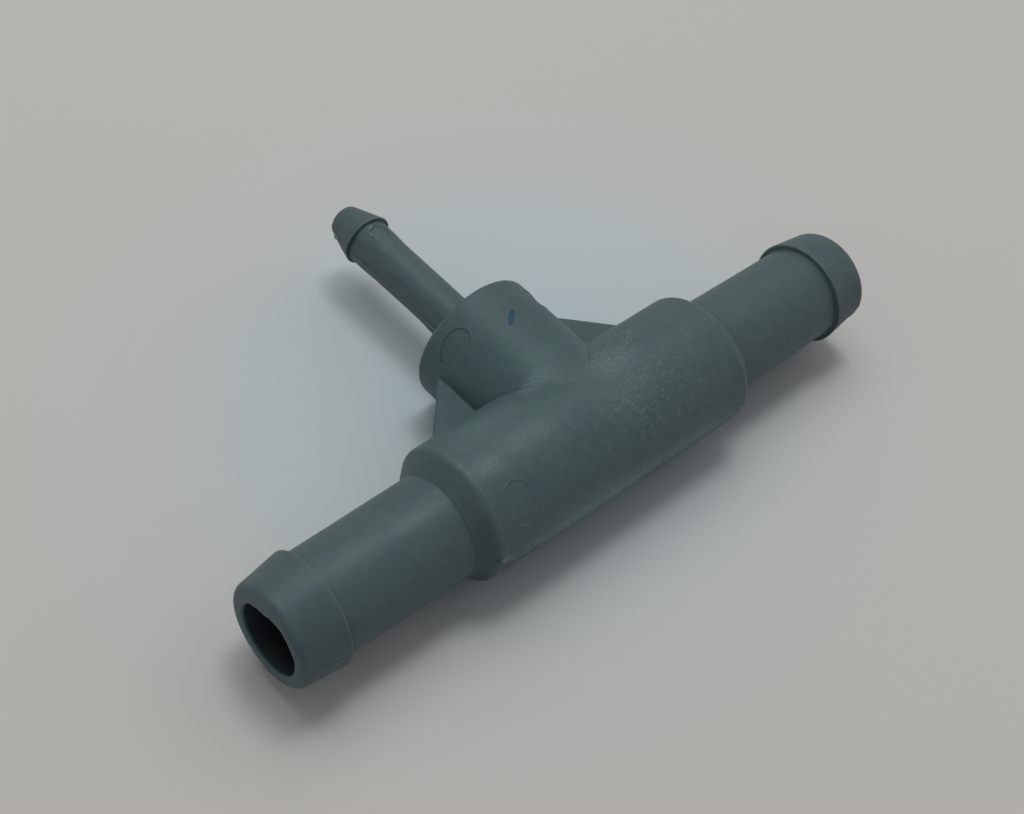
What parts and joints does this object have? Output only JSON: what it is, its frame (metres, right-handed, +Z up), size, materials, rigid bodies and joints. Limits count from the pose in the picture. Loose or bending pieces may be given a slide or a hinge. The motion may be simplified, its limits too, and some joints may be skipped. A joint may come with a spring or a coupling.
{
  "type": "reducing tee hose connector",
  "caption": "One-piece moulded plastic tee for soft tubing: a straight through run with large barbed hose tails and a small barbed branch at a right angle.",
  "frame": {"origin": "where the run axis and the branch axis cross", "axes": "+X along the run, +Y along the branch towards its tip, +Z up, square to the mould's parting plane"},
  "size_m": [0.0886, 0.0515, 0.017],
  "materials": {
    "grey_green_plastic": "satin moulded surface, grey-green, with short pale fibre streaks"
  },
  "bodies": {
    "root": {"reducing_tee": "grey_green_plastic"}
  },
  "joints": []
}
